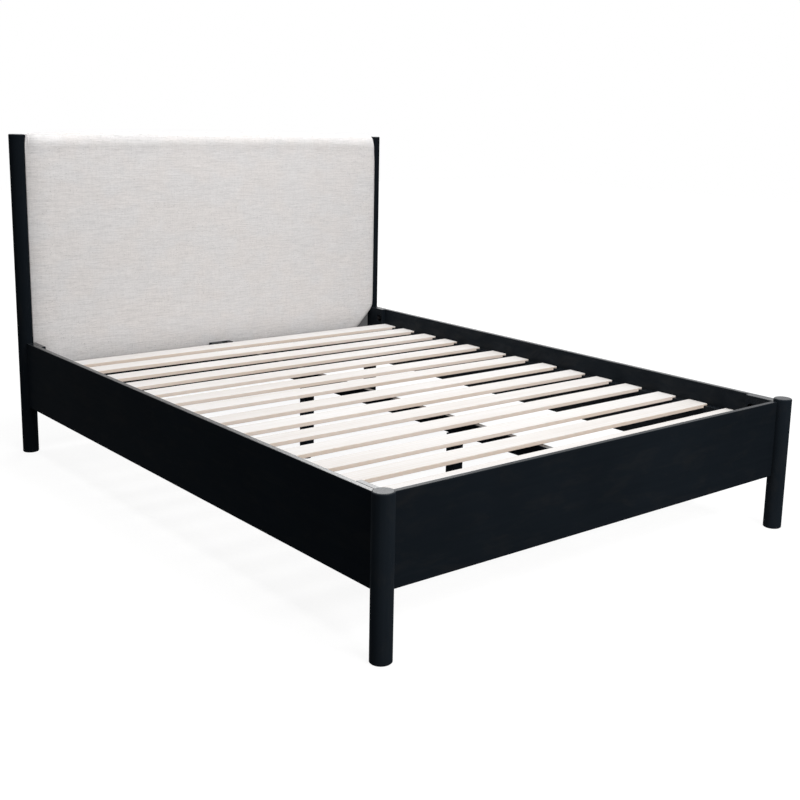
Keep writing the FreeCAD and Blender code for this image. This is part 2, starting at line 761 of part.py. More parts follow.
lining = new_body("panel_lining")
wrap = [
    ("panel_rear + lining_thickness", "panel_top"),
    ("panel_rear", "panel_top"),
    ("panel_rear", "panel_frame_base"),
    ("panel_face_front", "panel_frame_base"),
    ("panel_face_front", "panel_bottom + lining_lip"),
    ("panel_face_front - lining_thickness", "panel_bottom + lining_lip"),
    ("panel_face_front - lining_thickness", "panel_bottom"),
    ("panel_rear + lining_thickness", "panel_bottom"),
]
add_pad(lining, "x", "-frame_half_width", "2 * frame_half_width", outlines=[wrap])
keep(lining)


# Headboard cushion

# Stations across the cushion, as shares of its middle run, its cut corner and its side round
MIDDLE_SHARES = (0.0, 0.3, 0.6, 0.85)
CORNER_SHARES = (0.0, 0.25, 0.5, 0.75)
SIDE_TURN_SHARES = (0.0, 0.35, 0.7, 1.0)
CORNER_POWER = 1.85
# How far a rounded corner's middle point lies inside its square, as a share of the corner
ROUND_SHARE = 0.293
LEAN_SHARES = (0.15, 0.35)
# Where the cover turns back round the panel's side, as shares of the gap it fills there
WRAP_SHARES = (0.85, 0.7)


def cushion_stations():
    """Distances from the middle at which the cushion's outline is drawn, on one side."""
    half_width = size("panel_half_width")
    run = size("cushion_corner_run")
    draw = size("cushion_side_draw")
    middle = [share * (half_width - run) for share in MIDDLE_SHARES]
    corner = [half_width - run + share * (run - draw) for share in CORNER_SHARES]
    turns = [math.sin(share * math.pi / 2) for share in SIDE_TURN_SHARES]
    turned = [half_width - draw + turn * draw for turn in turns]
    wrapped = [half_width - share * size("cushion_side_cover") for share in WRAP_SHARES]
    return sorted(middle + corner + turned + wrapped)


def cushion_section(x):
    """The cushion's outline in the plane across X: face, rolled top and the step over the frame."""
    half_width = size("panel_half_width")
    draw = size("cushion_side_draw")
    swell = size("cushion_front_crown")
    edge_gap = half_width - abs(x)
    share = abs(x) / half_width
    crown = 1 - share ** 4
    pinch = 0.0
    if edge_gap < draw:
        pinch = draw - math.sqrt(max(0.0, draw ** 2 - (draw - edge_gap) ** 2))
    corner_share = max(0.0, 1 - edge_gap / size("cushion_corner_run"))
    front = size("panel_face") - swell * crown + pinch
    top = size("cushion_top") - size("cushion_top_fall") * share ** 4 - pinch / 2
    bottom = size("panel_bottom") + size("cushion_corner_rise") * corner_share ** CORNER_POWER
    wraps = edge_gap < sum(WRAP_SHARES) / 2 * size("cushion_side_cover")
    back = size("cushion_wrap" if wraps else "cushion_back")
    ledge, rear = size("cushion_ledge"), size("cushion_rear")
    top_round = size("cushion_top_round")
    bottom_round = size("cushion_bottom_round")
    crest = (front + rear) / 2
    edge_front = front + swell * (LEAN_SHARES[0] + LEAN_SHARES[1] * crown)
    step = ledge + (top - ledge) / 3
    low_front = Vector(x, edge_front, bottom + bottom_round)
    mid_front = Vector(x, front, (bottom + top) / 2)
    high_front = Vector(x, edge_front, top - top_round)
    peak = Vector(x, crest, top)
    rear_high = Vector(x, rear, step)
    rear_low = Vector(x, rear, ledge)
    inner = Vector(x, back, ledge)
    low_back = Vector(x, back, bottom)
    front_shoulder = Vector(
        x, edge_front + ROUND_SHARE * (crest - edge_front), top - ROUND_SHARE * top_round
    )
    rear_shoulder = Vector(x, rear - ROUND_SHARE * (rear - crest), top - ROUND_SHARE * (top - step))
    low_corner = Vector(
        x, edge_front + ROUND_SHARE * (back - edge_front), bottom + ROUND_SHARE * bottom_round
    )
    return Part.Wire([
        Part.LineSegment(low_back, inner).toShape(),
        Part.LineSegment(inner, rear_low).toShape(),
        Part.LineSegment(rear_low, rear_high).toShape(),
        Part.Arc(rear_high, rear_shoulder, peak).toShape(),
        Part.Arc(peak, front_shoulder, high_front).toShape(),
        Part.Arc(high_front, mid_front, low_front).toShape(),
        Part.Arc(low_front, low_corner, low_back).toShape(),
    ])


outward = cushion_stations()
across = [-x for x in reversed(outward[1:])] + outward
form = Part.makeLoft([cushion_section(x) for x in across], True, True)
cushion = doc.addObject("Part::Feature", "headboard_cushion")
cushion.Label = "headboard_cushion"
cushion.Shape = form
cushion.Placement = Placement()
keep(cushion)


# Checks and files

doc.recompute()
for made in doc.Objects:
    if "Invalid" in made.State or "Error" in made.State:
        raise RuntimeError(f"{made.Label} did not build: {made.State}")
for pocket in cuts:
    before = pocket.BaseFeature.Shape.Volume
    if not pocket.Shape.Volume < before:
        raise RuntimeError(f"{pocket.Label} cuts nothing")
for made in sub_parts:
    if made.Shape.isNull() or not made.Shape.isValid() or not made.Shape.Solids:
        raise RuntimeError(f"{made.Label} is not a sound solid")

os.makedirs("parts", exist_ok=True)
for made in sub_parts:
    made.Shape.exportStep(os.path.join("parts", made.Label + ".step"))
print(len(sub_parts), "sub-parts written")
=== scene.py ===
import bpy
import bmesh
import math
from mathutils import Matrix, Vector


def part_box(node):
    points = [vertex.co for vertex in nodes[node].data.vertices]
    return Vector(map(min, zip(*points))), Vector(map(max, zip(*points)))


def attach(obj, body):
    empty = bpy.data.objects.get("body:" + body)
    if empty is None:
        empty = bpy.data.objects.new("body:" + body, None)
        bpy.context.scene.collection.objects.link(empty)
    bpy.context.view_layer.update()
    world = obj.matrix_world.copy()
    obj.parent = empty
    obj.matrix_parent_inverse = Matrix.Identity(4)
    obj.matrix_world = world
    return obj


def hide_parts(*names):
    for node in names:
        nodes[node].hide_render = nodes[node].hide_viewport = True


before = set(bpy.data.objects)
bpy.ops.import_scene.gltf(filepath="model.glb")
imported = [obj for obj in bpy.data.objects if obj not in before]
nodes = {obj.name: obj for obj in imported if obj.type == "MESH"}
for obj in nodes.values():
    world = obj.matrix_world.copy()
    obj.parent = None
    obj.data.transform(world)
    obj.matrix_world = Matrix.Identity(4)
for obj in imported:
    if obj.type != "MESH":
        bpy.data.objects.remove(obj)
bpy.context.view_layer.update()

scene = bpy.context.scene
ROOT = "frame"


# Camera, as solved from the photograph's straight edges: its place is in metres, its angles in
# radians, its lens in millimetres

CAMERA_PLACE = (-2.3306, -3.0635, 1.2556)
CAMERA_YAW, CAMERA_PITCH, CAMERA_ROLL = 0.69853, -0.20351, 0.02463
CAMERA_LENS = 52.82
CAMERA_SENSOR = 36.0
CAMERA_SHIFT = (-0.0384, -0.0567)
CAMERA_REACH = 60.0


def aim_camera():
    data = bpy.data.cameras.new("camera")
    camera = bpy.data.objects.new("camera", data)
    scene.collection.objects.link(camera)
    level = math.cos(CAMERA_PITCH)
    ahead = Vector((
        math.sin(CAMERA_YAW) * level,
        math.cos(CAMERA_YAW) * level,
        math.sin(CAMERA_PITCH),
    ))
    right = Vector((math.cos(CAMERA_YAW), -math.sin(CAMERA_YAW), 0.0))
    up = right.cross(ahead)
    turned_right = right * math.cos(CAMERA_ROLL) + up * math.sin(CAMERA_ROLL)
    turned_up = up * math.cos(CAMERA_ROLL) - right * math.sin(CAMERA_ROLL)
    turn = Matrix((turned_right, turned_up, -ahead)).transposed()
    camera.matrix_world = Matrix.Translation(CAMERA_PLACE) @ turn.to_4x4()
    data.sensor_width = CAMERA_SENSOR
    data.lens = CAMERA_LENS
    data.shift_x, data.shift_y = CAMERA_SHIFT
    data.clip_end = CAMERA_REACH
    scene.camera = camera


aim_camera()


# Materials

def new_material(name):
    made = bpy.data.materials.new(name)
    made.use_nodes = True
    tree = made.node_tree
    return made, tree, tree.nodes["Principled BSDF"]


def add(tree, kind, **values):
    """A new node; each value goes to the input of that name, or else to the node's own setting."""
    node = tree.nodes.new(kind)
    for key, value in values.items():
        if key in node.inputs:
            node.inputs[key].default_value = value
        else:
            setattr(node, key.lower(), value)
    return node


def place(tree, scale):
    """Object coordinates, in metres, stretched by scale."""
    coordinates = add(tree, "ShaderNodeTexCoord")
    mapping = add(tree, "ShaderNodeMapping", Scale=scale)
    tree.links.new(coordinates.outputs["Object"], mapping.inputs["Vector"])
    return mapping.outputs["Vector"]


def noise(tree, vector, detail=4.0, roughness=0.55, distortion=0.0):
    """Noise at the scale of its vector."""
    made = add(
        tree, "ShaderNodeTexNoise",
        Scale=1.0, Detail=detail, Roughness=roughness, Distortion=distortion,
    )
    tree.links.new(vector, made.inputs["Vector"])
    return made.outputs["Fac"]


def ramp(tree, value, stops):
    """Turns value into a colour; each stop is its position and colour."""
    made = add(tree, "ShaderNodeValToRGB")
    elements = made.color_ramp.elements
    while len(elements) < len(stops):
        elements.new(0.5)
    for element, (position, color) in zip(elements, stops):
        element.position = position
        element.color = (*color, 1.0)
    tree.links.new(value, made.inputs["Fac"])
    return made.outputs["Color"]


def grey_ramp(tree, value, stops):
    return ramp(tree, value, [(position, (level, level, level)) for position, level in stops])


# The Mix node's sockets for colours
MIX_FACTOR, MIX_FIRST, MIX_SECOND, MIX_RESULT = 0, 6, 7, 2


def blend(tree, kind, factor, first, second):
    """Mixes two colours; factor, first and second are sockets or values."""
    made = add(tree, "ShaderNodeMix")
    made.data_type = "RGBA"
    made.blend_type = kind
    for index, value in ((MIX_FACTOR, factor), (MIX_FIRST, first), (MIX_SECOND, second)):
        socket = made.inputs[index]
        if hasattr(value, "is_output"):
            tree.links.new(value, socket)
        else:
            socket.default_value = value if index == MIX_FACTOR else (*value, 1.0)
    return made.outputs[MIX_RESULT]


def bump(tree, shader, height, strength, distance, under=None):
    """Bump from height, on top of the normal under; without a shader it only gives its normal."""
    made = add(tree, "ShaderNodeBump", Strength=strength, Distance=distance)
    tree.links.new(height, made.inputs["Height"])
    if under is not None:
        tree.links.new(under, made.inputs["Normal"])
    if shader is not None:
        tree.links.new(made.outputs["Normal"], shader.inputs["Normal"])
    return made.outputs["Normal"]


def along(axis, long_scale, cross_scale):
    """A scale for grain that runs along axis."""
    return tuple(long_scale if letter == axis else cross_scale for letter in "xyz")


WHITE = (1.0, 1.0, 1.0)
LACQUER_TONES = ((0.0086, 0.0118, 0.0156), (0.0106, 0.0140, 0.0182))
LACQUER_RUBBED = (1.45, 1.25, 1.12)
# Lighter colour of the lacquer at its edges: partly wear, partly a painted highlight.
LACQUER_WEAR_AND_HIGHLIGHT = (0.030, 0.034, 0.040)


def black_wood(
    name, axis, top_sheen, side_sheen=0.001, edge=0.0012, patchy_sheen=0.0, painted_light_scale=1.0
):
    """Satin black lacquer over open-grained wood, with more sheen on the faces that look up.

    The grain runs along axis, edge is the radius of the eased edges in metres, whose lighter colour
    is partly wear and partly a painted highlight, patchy_sheen is how uneven the sheen is, and the
    last argument scales the tones: a darker or lighter copy of the lacquer, as painted shade or
    painted light for its pieces.
    """
    made, tree, shader = new_material(name)
    grain = noise(tree, place(tree, along(axis, 3.0, 90.0)), 6.0, 0.6, 0.3)
    pores = noise(tree, place(tree, along(axis, 14.0, 700.0)), 3.0, 0.6)
    cloud = noise(tree, place(tree, (2.5, 2.5, 2.5)), 3.0)
    mottle = noise(tree, place(tree, along(axis, 9.0, 24.0)), 5.0, 0.65, 0.6)
    # Each copy's tones are scaled: darker or lighter copies stand in for the shade or light on their
    # pieces, painted shade and painted light.
    dark, light = (tuple(value * painted_light_scale for value in tone) for tone in LACQUER_TONES)
    base = ramp(tree, grain, [(0.25, dark), (0.75, light)])
    tint = blend(tree, "MULTIPLY", 1.0, base, grey_ramp(tree, cloud, [(0.35, 0.8), (0.7, 1.0)]))
    rubbed = ramp(tree, mottle, [(0.50, WHITE), (0.72, LACQUER_RUBBED)])
    tint = blend(tree, "MULTIPLY", 1.0, tint, rubbed)
    edges = add(tree, "ShaderNodeBevel", Radius=edge, samples=8)
    geometry = add(tree, "ShaderNodeNewGeometry")
    turn = add(tree, "ShaderNodeVectorMath", operation="DOT_PRODUCT")
    tree.links.new(edges.outputs["Normal"], turn.inputs[0])
    tree.links.new(geometry.outputs["Normal"], turn.inputs[1])
    # The edges, found where the eased normal turns away from the face's, take a lighter colour broken
    # by the grain: partly wear, partly a painted highlight.
    edge_wear_highlight_mask = grey_ramp(tree, turn.outputs["Value"], [(0.84, 1.0), (0.985, 0.0)])
    wear_and_highlight = blend(tree, "MULTIPLY", 1.0, edge_wear_highlight_mask, grey_ramp(tree, grain, [(0.3, 0.25), (0.7, 1.0)]))
    tree.links.new(blend(tree, "MIX", wear_and_highlight, tint, LACQUER_WEAR_AND_HIGHLIGHT), shader.inputs["Base Color"])
    split = add(tree, "ShaderNodeSeparateXYZ")
    tree.links.new(edges.outputs["Normal"], split.inputs["Vector"])
    upward = split.outputs["Z"]
    sheen = grey_ramp(tree, upward, [(0.45, side_sheen), (0.95, top_sheen)])
    uneven = grey_ramp(tree, mottle, [(0.38, 0.4), (0.66, 1.0)])
    patched = blend(tree, "MULTIPLY", patchy_sheen, sheen, uneven)
    tree.links.new(patched, shader.inputs["Specular IOR Level"])
    smooth_top = grey_ramp(tree, upward, [(0.45, 0.46), (0.95, 0.26)])
    patchy = grey_ramp(tree, cloud, [(0.3, 0.86), (0.7, 1.0)])
    roughness = blend(tree, "MULTIPLY", 1.0, smooth_top, patchy)
    tree.links.new(roughness, shader.inputs["Roughness"])
    heights = blend(tree, "MULTIPLY", 1.0, grain, pores)
    bump(tree, shader, heights, 0.3, 0.0002, edges.outputs["Normal"])
    return made


RING_TINT = (0.9, 0.85, 0.78)
RING_SCALE = 26.0
FIBRE_TINT = (0.86, 0.8, 0.73)
# Shifts the pattern from piece to piece, by each object's random value
PIECE_SHIFT = (7.3, 3.1, 5.7)


def pale_wood(name, axis, tones, side_light_tint=WHITE):
    """Planed pale softwood, the grain along axis, with soft rings and fine fibres; faces that don't
    look up take a tint, painted light and shade by the way they face.
    """
    made, tree, shader = new_material(name)
    info = add(tree, "ShaderNodeObjectInfo")
    coordinates = add(tree, "ShaderNodeTexCoord")
    shift = add(tree, "ShaderNodeVectorMath", operation="MULTIPLY_ADD")
    tree.links.new(info.outputs["Random"], shift.inputs[0])
    shift.inputs[1].default_value = PIECE_SHIFT
    tree.links.new(coordinates.outputs["Object"], shift.inputs[2])

    def mapped(long_scale, cross_scale):
        mapping = add(tree, "ShaderNodeMapping", Scale=along(axis, long_scale, cross_scale))
        tree.links.new(shift.outputs["Vector"], mapping.inputs["Vector"])
        return mapping.outputs["Vector"]

    wave = add(tree, "ShaderNodeTexWave", Scale=1.0, Distortion=7.0, Detail=3.0)
    wave.inputs["Detail Scale"].default_value = 1.2
    wave.bands_direction = "Y" if axis == "x" else "X"
    tree.links.new(mapped(0.8, RING_SCALE), wave.inputs["Vector"])
    rings = wave.outputs["Fac"]
    fibres = noise(tree, mapped(10.0, 900.0), 4.0, 0.6)
    cloud = noise(tree, mapped(1.5, 9.0), 3.0)
    base = ramp(tree, cloud, [(0.3, tones[0]), (0.7, tones[1])])
    ring_tones = ramp(tree, rings, [(0.0, RING_TINT), (0.55, WHITE)])
    ringed = blend(tree, "MULTIPLY", 0.5, base, ring_tones)
    fibre_tones = ramp(tree, fibres, [(0.35, FIBRE_TINT), (0.65, WHITE)])
    fibred = blend(tree, "MULTIPLY", 0.35, ringed, fibre_tones)
    geometry = add(tree, "ShaderNodeNewGeometry")
    split = add(tree, "ShaderNodeSeparateXYZ")
    tree.links.new(geometry.outputs["Normal"], split.inputs["Vector"])
    # Faces that don't look up are tinted: painted light and shade by the way they face.
    sides = ramp(tree, split.outputs["Z"], [(0.3, side_light_tint), (0.8, WHITE)])
    tree.links.new(blend(tree, "MULTIPLY", 1.0, fibred, sides), shader.inputs["Base Color"])
    shader.inputs["Specular IOR Level"].default_value = 0.1
    tree.links.new(grey_ramp(tree, fibres, [(0.3, 0.55), (0.7, 0.7)]), shader.inputs["Roughness"])
    bump(tree, shader, fibres, 0.3, 0.0002)
    return made


def metal(name, color, roughness):
    """Zinc-plated steel, brushed fine, dull in patches."""
    made, tree, shader = new_material(name)
    cloud = noise(tree, place(tree, (60.0, 60.0, 60.0)), 4.0)
    brushed = noise(tree, place(tree, (1500.0, 200.0, 1500.0)), 2.0)
    dulled = ramp(tree, cloud, [(0.3, (0.7, 0.7, 0.68)), (0.7, WHITE)])
    shade = blend(tree, "MULTIPLY", 0.5, color, dulled)
    tree.links.new(shade, shader.inputs["Base Color"])
    shader.inputs["Metallic"].default_value = 1.0
    patches = grey_ramp(tree, cloud, [(0.3, roughness), (0.7, roughness + 0.15)])
    tree.links.new(patches, shader.inputs["Roughness"])
    bump(tree, shader, brushed, 0.15, 0.0001)
    return made


def plastic(name, color):
    """Moulded matte plastic with a fine spark-eroded grain."""
    made, tree, shader = new_material(name)
    speck = noise(tree, place(tree, (900.0, 900.0, 900.0)), 3.0)
    shade = blend(tree, "MULTIPLY", 0.4, color, grey_ramp(tree, speck, [(0.3, 0.7), (0.7, 1.0)]))
    tree.links.new(shade, shader.inputs["Base Color"])
    tree.links.new(grey_ramp(tree, speck, [(0.3, 0.5), (0.7, 0.62)]), shader.inputs["Roughness"])
    bump(tree, shader, speck, 0.25, 0.0002)
    return made


# The wave texture draws about this many bands to a unit of its vector
BANDS_PER_UNIT = 3.1


def woven(name, light, pitch, streak, speck, fuzz):
    """Plain weave of uneven yarn, weft across and warp up, with faint streaks and a few flecks.

    pitch is the yarns' distance in metres; streak, speck and fuzz are the shares of the streaks, of
    the flecks and of the sheen.
    """
    made, tree, shader = new_material(name)

    def yarn(direction, scale):
        wave = add(tree, "ShaderNodeTexWave", Scale=1.0, Distortion=1.4, Detail=2.0)
        wave.inputs["Detail Scale"].default_value = 3.0
        wave.bands_direction = direction
        tree.links.new(place(tree, scale), wave.inputs["Vector"])
        return wave.outputs["Fac"]

    per_metre = 1.0 / pitch / BANDS_PER_UNIT
    weft_yarn = yarn("Z", (6.0, 6.0, per_metre))
    warp_yarn = yarn("X", (per_metre, 6.0, 6.0))
    threads = blend(tree, "MULTIPLY", 1.0, weft_yarn, warp_yarn)
    weft = noise(tree, place(tree, (16.0, 16.0, 330.0)), 4.0, 0.68)
    fine_weft = noise(tree, place(tree, (70.0, 70.0, 620.0)), 2.0, 0.6)
    warp = noise(tree, place(tree, (420.0, 30.0, 34.0)), 3.0, 0.6)
    flecks = noise(tree, place(tree, (190.0, 190.0, 330.0)), 2.0, 0.5)
    cloud = noise(tree, place(tree, (7.0, 7.0, 9.0)), 3.0)
    warm = tuple(value * shift for value, shift in zip(light, (1.006, 0.998, 0.990)))
    cool = tuple(value * shift for value, shift in zip(light, (0.994, 1.0, 1.004)))
    base = ramp(tree, cloud, [(0.42, cool), (0.58, warm)])
    layers = (
        (streak, weft, [(0.30, 0.84), (0.52, 0.98), (0.72, 1.06)]),
        (streak, fine_weft, [(0.30, 0.90), (0.62, 1.03)]),
        (streak * 0.6, warp, [(0.30, 0.90), (0.60, 1.02)]),
        (speck, flecks, [(0.27, 0.55), (0.35, 1.0)]),
        (0.3, threads, [(0.0, 0.8), (0.5, 1.0)]),
    )
    for share, pattern, stops in layers:
        base = blend(tree, "MULTIPLY", share, base, grey_ramp(tree, pattern, stops))
    tree.links.new(base, shader.inputs["Base Color"])
    shader.inputs["Roughness"].default_value = 0.92
    shader.inputs["Specular IOR Level"].default_value = 0.12
    shader.inputs["Sheen Weight"].default_value = fuzz
    shader.inputs["Sheen Roughness"].default_value = 0.5
    under = bump(tree, None, weft, 0.4, 0.0003)
    bump(tree, shader, threads, 0.5, 0.0003, under)
    return made


# Copies of one lacquer: the copy for the side rails and beam is darker, the posts' darker still and
# the legs' lighter, painted shade and painted light for how the light falls on them.
black_x = black_wood("black_wood_across", "x", 0.05)
black_y = black_wood("black_wood_along", "y", 1.0, painted_light_scale=0.85)
black_y_right = black_wood("black_wood_along_right", "y", 0.6, 0.065, patchy_sheen=1.0)
black_z = black_wood("black_wood_upright", "z", 0.13, edge=0.0028, painted_light_scale=1.4)
black_post = black_wood("black_wood_post", "z", 0.6, edge=0.0028, painted_light_scale=0.8)

SLAT_TONES = ((0.682, 0.662, 0.650), (0.752, 0.750, 0.755))
# The slats' sides are tinted warmer and lighter than their tops: painted light and shade.
SLAT_SIDE_LIGHT_TINT = (1.21, 1.075, 0.965)
RAW_TONES = ((0.56, 0.39, 0.22), (0.68, 0.5, 0.31))
slat_wood = pale_wood("slat_wood", "x", SLAT_TONES, SLAT_SIDE_LIGHT_TINT)
raw_wood_x = pale_wood("raw_wood_across", "x", RAW_TONES)
raw_wood_z = pale_wood("raw_wood_upright", "z", RAW_TONES)
steel = metal("zinc_steel", (0.035, 0.035, 0.038), 0.42)
black_plastic = plastic("black_plastic", (0.02, 0.02, 0.021))
cover = woven("cushion_weave", (0.795, 0.773, 0.767), 0.0011, 1.0, 0.8, 0.1)
lining = woven("lining_cloth", (0.17, 0.17, 0.175), 0.0008, 0.5, 0.0, 0.05)


def paint(names, material):
    for name in names:
        node = nodes[name]
        node.data.materials.clear()
        node.data.materials.append(material)


slat_names = [name for name in nodes if name.startswith("slat_") and "ledger" not in name]
paint(["headboard_post_left", "headboard_post_right"], black_post)
paint(["foot_leg_left", "foot_leg_right", "centre_leg_head", "centre_leg_foot"], black_z)
for side, finish in (("left", black_y), ("right", black_y_right)):
    pieces = ("side_rail", "slat_ledger", "end_block_head", "end_block_foot")
    paint([f"{name}_{side}" for name in pieces], finish)
paint(["centre_beam"], black_y)
# The panel's tenons take the black lacquer so that they read as the dark gap beside the posts:
# painted shade.
paint(["foot_rail", "head_rail", "beam_block_head", "beam_block_foot", "panel_tenons"], black_x)
paint(slat_names, slat_wood)
paint(["panel_frame_bottom", "panel_face_board", "rail_tenons"], raw_wood_x)
paint(["panel_frame_middle", "panel_stile_left", "panel_stile_right"], raw_wood_z)
paint(["centre_leg_tenons"], raw_wood_z)
paint(["hanger_bolts", "bolt_washers", "bolt_nuts"], steel)
paint(["leveller_head", "leveller_foot"], black_plastic)
paint(["panel_lining", "panel_frame_top"], lining)


# Floor, light and background

FLOOR_SHADE = 0.22
# The floor shows as white from GLOW_FAR metres out, and as this level up to GLOW_NEAR
FLOOR_GLOW = 0.85
GLOW_NEAR, GLOW_FAR = 1.6, 3.6
FLOOR_REACH = 14.0
WORLD_FILL = 0.2
# Name, place, aim, width, height (metres) and power (watts)
SOFTBOXES = (
    ("top_softbox", (0.25, 0.1, 3.6), (0.25, 0.1, 0.3), 3.4, 3.4, 122.0),
    ("front_softbox", (0.0, -4.7, 2.9), (0.0, 0.4, 0.6), 3.0, 2.0, 165.0),
    ("rim_softbox", (3.0, 4.3, 3.25), (-0.78, -0.9, 0.41), 2.0, 1.6, 38.0),
)


def seen_rays(tree):
    """1 for rays that show the background: straight from the camera, mirrored or passed through."""
    path = add(tree, "ShaderNodeLightPath")
    first = add(tree, "ShaderNodeMath", operation="MAXIMUM")
    tree.links.new(path.outputs["Is Camera Ray"], first.inputs[0])
    tree.links.new(path.outputs["Is Glossy Ray"], first.inputs[1])
    second = add(tree, "ShaderNodeMath", operation="MAXIMUM")
    tree.links.new(first.outputs["Value"], second.inputs[0])
    tree.links.new(path.outputs["Is Transmission Ray"], second.inputs[1])
    return second.outputs["Value"]


def make_floor():
    mesh = bpy.data.meshes.new("floor")
    turns = ((-1, -1), (1, -1), (1, 1), (-1, 1))
    corners = [(x * FLOOR_REACH, y * FLOOR_REACH, 0.0) for x, y in turns]
    mesh.from_pydata(corners, [], [(0, 1, 2, 3)])
    floor = bpy.data.objects.new("floor", mesh)
    scene.collection.objects.link(floor)
    made, tree, shader = new_material("floor")
    shader.inputs["Base Color"].default_value = (FLOOR_SHADE, FLOOR_SHADE, FLOOR_SHADE, 1.0)
    shader.inputs["Roughness"].default_value = 0.9
    shader.inputs["Specular IOR Level"].default_value = 0.0
    away = add(tree, "ShaderNodeVectorMath", operation="LENGTH")
    tree.links.new(place(tree, (1.0, 1.0, 1.0)), away.inputs[0])
    level = add(tree, "ShaderNodeMapRange")
    level.inputs["From Min"].default_value = GLOW_NEAR
    level.inputs["From Max"].default_value = GLOW_FAR
    level.inputs["To Min"].default_value = FLOOR_GLOW
    level.inputs["To Max"].default_value = 1.0
    tree.links.new(away.outputs["Value"], level.inputs["Value"])
    glow = add(tree, "ShaderNodeEmission", Color=(1.0, 1.0, 1.0, 1.0))
    tree.links.new(level.outputs["Result"], glow.inputs["Strength"])
    total = add(tree, "ShaderNodeAddShader")
    mixed = add(tree, "ShaderNodeMixShader")
    tree.links.new(shader.outputs["BSDF"], total.inputs[0])
    tree.links.new(glow.outputs["Emission"], total.inputs[1])
    tree.links.new(seen_rays(tree), mixed.inputs["Fac"])
    tree.links.new(shader.outputs["BSDF"], mixed.inputs[1])
    tree.links.new(total.outputs["Shader"], mixed.inputs[2])
    tree.links.new(mixed.outputs["Shader"], tree.nodes["Material Output"].inputs["Surface"])
    mesh.materials.append(made)


def make_world():
    world = bpy.data.worlds.new("studio")
    scene.world = world
    world.use_nodes = True
    tree = world.node_tree
    tree.nodes.clear()
    output = add(tree, "ShaderNodeOutputWorld")
    fill = add(tree, "ShaderNodeBackground", Color=(1.0, 1.0, 1.0, 1.0), Strength=WORLD_FILL)
    seen = add(tree, "ShaderNodeBackground", Color=(1.0, 1.0, 1.0, 1.0), Strength=1.0)
    mixed = add(tree, "ShaderNodeMixShader")
    tree.links.new(seen_rays(tree), mixed.inputs["Fac"])
    tree.links.new(fill.outputs["Background"], mixed.inputs[1])
    tree.links.new(seen.outputs["Background"], mixed.inputs[2])
    tree.links.new(mixed.outputs["Shader"], output.inputs["Surface"])


def area_light(name, where, towards, width, height, power):
    data = bpy.data.lights.new(name, "AREA")
    data.shape = "RECTANGLE"
    data.size = width
    data.size_y = height
    data.energy = power
    light = bpy.data.objects.new(name, data)
    scene.collection.objects.link(light)
    light.location = where
    aim = Vector(towards) - Vector(where)
    light.rotation_euler = aim.to_track_quat("-Z", "Y").to_euler()


make_floor()
make_world()
for softbox in SOFTBOXES:
    area_light(*softbox)


# Headboard cushion. Lengths are in metres

WELD = 0.00002
VOXEL = 0.007
CLEAR = 0.0004
# For each side: width and radius of the roll, its share, how far the foam swells past the panel,
# and the part of that swelling that is left at the top
SIDE_ROLLS = {-1: (0.056, 0.062, 0.70, 0.0185, 0.35), 1: (0.046, 0.060, 0.30, 0.0165, 0.65)}
# The deepest that the roll goes behind the front, and how far below the top the swelling is full
ROLL_BACK = 0.0245
BULGE_RISE = 0.150
# The depths behind the front between which the roll, and the swelling, fade out
ROLL_DEPTHS = (0.006, 0.030)
BULGE_DEPTHS = (0.026, 0.042)
# How far the foot turns back, and over what height
UNDER_TURN = 0.003
UNDER_HEIGHT = 0.120
# The strips of cover beside the posts
WRAP_THICKNESS = 0.0018
WRAP_FRONT = 0.020
WRAP_BACK = 1.0566
WRAP_LOW = 0.112
WRAP_DROP = 0.016
WRAP_STEPS = 24
# The cloth simulation: what lies deeper than HELD_DEPTH is held, and no point moves by CAP or more
PRESSURE = 4.0
HELD_DEPTH = 0.030
LAST_FRAME = 20
CAP = 0.0035
EVEN_ROUNDS = 8


def baked_mesh(piece):
    """The piece's mesh with its modifiers applied."""
    evaluated = piece.evaluated_get(bpy.context.evaluated_depsgraph_get())
    mesh = bpy.data.meshes.new_from_object(evaluated)
    piece.modifiers.clear()
    piece.data = mesh
    return mesh


def ease_in(value, low, high):
    """Rises smoothly from 0 at low to 1 at high."""
    share = min(1.0, max(0.0, (value - low) / (high - low)))
    return share * share * (3.0 - 2.0 * share)


def post_limit(y, post):
    """How far from the middle the cover may reach at y, beside the round post."""
    (x_low, y_low, _), (x_high, y_high, _) = post
    middle_x, middle_y = (x_low + x_high) / 2, (y_low + y_high) / 2
    reach = (x_high - x_low) / 2 + CLEAR
    off = min(reach, abs(y - middle_y))
    return middle_x - math.sqrt(reach * reach - off * off)


def shape_cushion(mesh, low, high):
    """Rolls the front back at both sides, swells the foam past the panel and turns its foot under."""
    half, front, top = high.x, low.y, high.z
    for vertex in mesh.vertices:
        x, y, z = vertex.co
        forward = 1.0 - ease_in(y - front, *ROLL_DEPTHS)
        foot = 1.0 - min(1.0, (z - low.z) / UNDER_HEIGHT)
        vertex.co.y = y + UNDER_TURN * foot * foot * forward
        side = 1 if x > 0.0 else -1
        width, radius, share, bulge, top_part = SIDE_ROLLS[side]
        into_roll = abs(x) - (half - width)
        if into_roll <= 0.0:
            continue
        turn = radius - math.sqrt(radius ** 2 - min(into_roll, width) ** 2)
        vertex.co.y = min(vertex.co.y + turn * forward * share, max(y, front + ROLL_BACK))
        free = 1.0 - ease_in(vertex.co.y - front, *BULGE_DEPTHS)
        rise = top_part + (1.0 - top_part) * ease_in(top - z, 0.0, BULGE_RISE)
        vertex.co.x = x + side * bulge * ease_in(into_roll, 0.0, width) * rise * free


